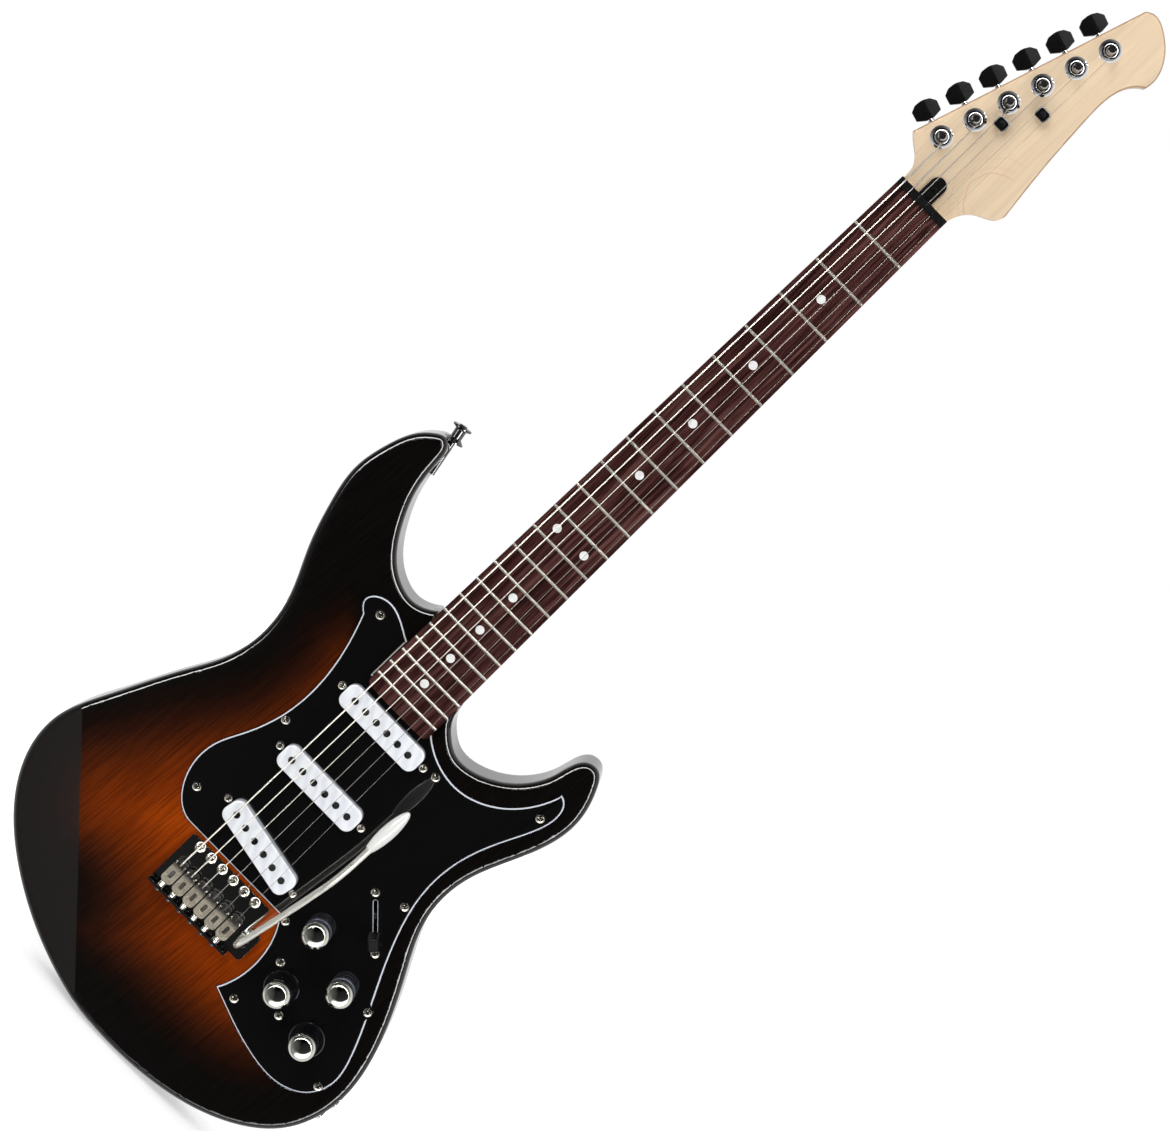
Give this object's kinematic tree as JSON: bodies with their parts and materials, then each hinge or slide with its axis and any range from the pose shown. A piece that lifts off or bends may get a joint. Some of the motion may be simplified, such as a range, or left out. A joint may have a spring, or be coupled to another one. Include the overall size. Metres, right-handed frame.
{
  "type": "electric guitar",
  "caption": "Solid-body electric guitar with bolt-on neck, tremolo bridge, three single-coil pickups, knobs, lever selector and turning tuners.",
  "frame": {"origin": "on the centre line where the strings leave the nut over the fingerboard's end, in the plane of the body's face, inside the neck where a wall hanger holds it", "axes": "+Z along the neck towards the head, +X towards the treble side, -Y out of the face towards the player's front"},
  "size_m": [0.3221, 0.1247, 0.9851],
  "materials": {
    "sunburst_lacquer": "gloss sunburst lacquer over wood",
    "maple": "satin",
    "rosewood": "oiled",
    "pearl_inlay": "pearly",
    "black_plastic": "gloss",
    "guard_laminate": "gloss, white edge line",
    "pearl_cover": "pearly white",
    "chrome": "polished",
    "satin_nickel": "satin",
    "warm_nickel": "satin",
    "steel": "plain",
    "fret_wire": "polished",
    "string_wire": "plain and wound steel",
    "pole_steel": "dull",
    "knurled_black": "black chrome",
    "cream_plastic": "gloss",
    "circuit_board": "solder mask",
    "black_rubber": "matte"
  },
  "bodies": {
    "guitar": {"body": "sunburst_lacquer", "neck": "maple", "fingerboard": "rosewood", "frets": "fret_wire", "position_dots": "pearl_inlay", "nut": "black_plastic", "truss_rod": "steel", "truss_rod_cover": "black_plastic", "string_trees": "black_plastic", "headstock_screws": "chrome", "tuner_housings": "chrome", "tuner_bushings": "chrome", "neck_plate": "chrome", "neck_bolts": "chrome", "pickguard": "guard_laminate", "face_screws": "chrome", "pickup_covers": "pearl_cover", "pickup_coils": "black_plastic", "pole_pieces": "pole_steel", "pickup_screws": "chrome", "pickup_tubes": "black_rubber", "control_pots": "steel", "knob_collars": "knurled_black", "control_board": "circuit_board", "selector_switch": "steel", "pivot_screws": "chrome", "tremolo_springs": "steel", "spring_claw": "steel", "claw_screws": "steel", "back_cover": "black_plastic", "back_cover_screws": "chrome", "strap_buttons": "chrome", "jack_plate": "chrome", "jack_socket": "chrome", "strings": "string_wire"},
    "bridge": {"bridge_plate": "chrome", "saddles": "warm_nickel", "saddle_screws": "steel", "intonation_springs": "steel", "tremolo_block": "satin_nickel"},
    "arm": {"tremolo_arm": "satin_nickel", "arm_tip": "cream_plastic"},
    "volume_knob": {"volume_knob": "knurled_black"},
    "tone_knob": {"tone_knob": "knurled_black"},
    "model_knob": {"model_knob": "knurled_black"},
    "tuning_knob": {"tuning_knob": "knurled_black"},
    "selector_lever": {"switch_lever": "steel", "switch_tip": "black_plastic"},
    "tuner_post_1": {"tuner_post_1": "chrome"},
    "tuner_button_1": {"tuner_button_1": "black_plastic"},
    "tuner_post_2": {"tuner_post_2": "chrome"},
    "tuner_button_2": {"tuner_button_2": "black_plastic"},
    "tuner_post_3": {"tuner_post_3": "chrome"},
    "tuner_button_3": {"tuner_button_3": "black_plastic"},
    "tuner_post_4": {"tuner_post_4": "chrome"},
    "tuner_button_4": {"tuner_button_4": "black_plastic"},
    "tuner_post_5": {"tuner_post_5": "chrome"},
    "tuner_button_5": {"tuner_button_5": "black_plastic"},
    "tuner_post_6": {"tuner_post_6": "chrome"},
    "tuner_button_6": {"tuner_button_6": "black_plastic"}
  },
  "joints": [
    {"name": "bridge_rock", "type": "hinge", "parent": "guitar", "child": "bridge", "pos_m": [0, -0.00315, -0.637], "axis": [-1, 0, 0], "range_deg": [-2, 10], "stiffness_Nm_per_rad": 10, "deforming": ["strings", "tremolo_springs"]},
    {"name": "arm_swing", "type": "hinge", "parent": "bridge", "child": "arm", "pos_m": [0.0375, 0, -0.6615], "axis": [0, -1, 0], "range_deg": [-150, 60]},
    {"name": "volume_turn", "type": "hinge", "parent": "guitar", "child": "volume_knob", "pos_m": [0.0697, 0, -0.6193], "axis": [0, -1, 0], "range_deg": [0, 280]},
    {"name": "tone_turn", "type": "hinge", "parent": "guitar", "child": "tone_knob", "pos_m": [0.1093, 0, -0.636], "axis": [0, -1, 0], "range_deg": [0, 280]},
    {"name": "model_turn", "type": "hinge", "parent": "guitar", "child": "model_knob", "pos_m": [0.08, 0, -0.665], "axis": [0, -1, 0], "range_deg": [-150, 150]},
    {"name": "tuning_turn", "type": "hinge", "parent": "guitar", "child": "tuning_knob", "pos_m": [0.117, 0, -0.6775], "axis": [0, -1, 0], "range_deg": [-150, 150]},
    {"name": "selector_flick", "type": "hinge", "parent": "guitar", "child": "selector_lever", "pos_m": [0.0922, 0.0237, -0.588], "axis": [-0.7071, 0, -0.7071], "range_deg": [0, 38]},
    {"name": "button_1_turn", "type": "hinge", "parent": "guitar", "child": "tuner_button_1", "pos_m": [-0.0212, 0.0205, 0.0414], "axis": [-0.9542, 0, 0.299], "continuous": true},
    {"name": "post_1_turn", "type": "hinge", "parent": "guitar", "child": "tuner_post_1", "pos_m": [-0.0212, 0, 0.0414], "axis": [0, -1, 0], "continuous": true},
    {"name": "button_2_turn", "type": "hinge", "parent": "guitar", "child": "tuner_button_2", "pos_m": [-0.01399, 0.0205, 0.0644], "axis": [-0.9542, 0, 0.299], "continuous": true},
    {"name": "post_2_turn", "type": "hinge", "parent": "guitar", "child": "tuner_post_2", "pos_m": [-0.01399, 0, 0.0644], "axis": [0, -1, 0], "continuous": true},
    {"name": "button_3_turn", "type": "hinge", "parent": "guitar", "child": "tuner_button_3", "pos_m": [-0.00679, 0.0205, 0.08739], "axis": [-0.9542, 0, 0.299], "continuous": true},
    {"name": "post_3_turn", "type": "hinge", "parent": "guitar", "child": "tuner_post_3", "pos_m": [-0.00679, 0, 0.08739], "axis": [0, -1, 0], "continuous": true},
    {"name": "button_4_turn", "type": "hinge", "parent": "guitar", "child": "tuner_button_4", "pos_m": [0.00042, 0.0205, 0.11039], "axis": [-0.9542, 0, 0.299], "continuous": true},
    {"name": "post_4_turn", "type": "hinge", "parent": "guitar", "child": "tuner_post_4", "pos_m": [0.00042, 0, 0.11039], "axis": [0, -1, 0], "continuous": true},
    {"name": "button_5_turn", "type": "hinge", "parent": "guitar", "child": "tuner_button_5", "pos_m": [0.00763, 0.0205, 0.13339], "axis": [-0.9542, 0, 0.299], "continuous": true},
    {"name": "post_5_turn", "type": "hinge", "parent": "guitar", "child": "tuner_post_5", "pos_m": [0.00763, 0, 0.13339], "axis": [0, -1, 0], "continuous": true},
    {"name": "button_6_turn", "type": "hinge", "parent": "guitar", "child": "tuner_button_6", "pos_m": [0.01483, 0.0205, 0.15639], "axis": [-0.9542, 0, 0.299], "continuous": true},
    {"name": "post_6_turn", "type": "hinge", "parent": "guitar", "child": "tuner_post_6", "pos_m": [0.01483, 0, 0.15639], "axis": [0, -1, 0], "continuous": true}
  ],
  "couplings": [
    {"joint": "post_1_turn", "follows": "button_1_turn", "ratio": 0.066667},
    {"joint": "post_2_turn", "follows": "button_2_turn", "ratio": 0.066667},
    {"joint": "post_3_turn", "follows": "button_3_turn", "ratio": 0.066667},
    {"joint": "post_4_turn", "follows": "button_4_turn", "ratio": 0.066667},
    {"joint": "post_5_turn", "follows": "button_5_turn", "ratio": 0.066667},
    {"joint": "post_6_turn", "follows": "button_6_turn", "ratio": 0.066667}
  ]
}
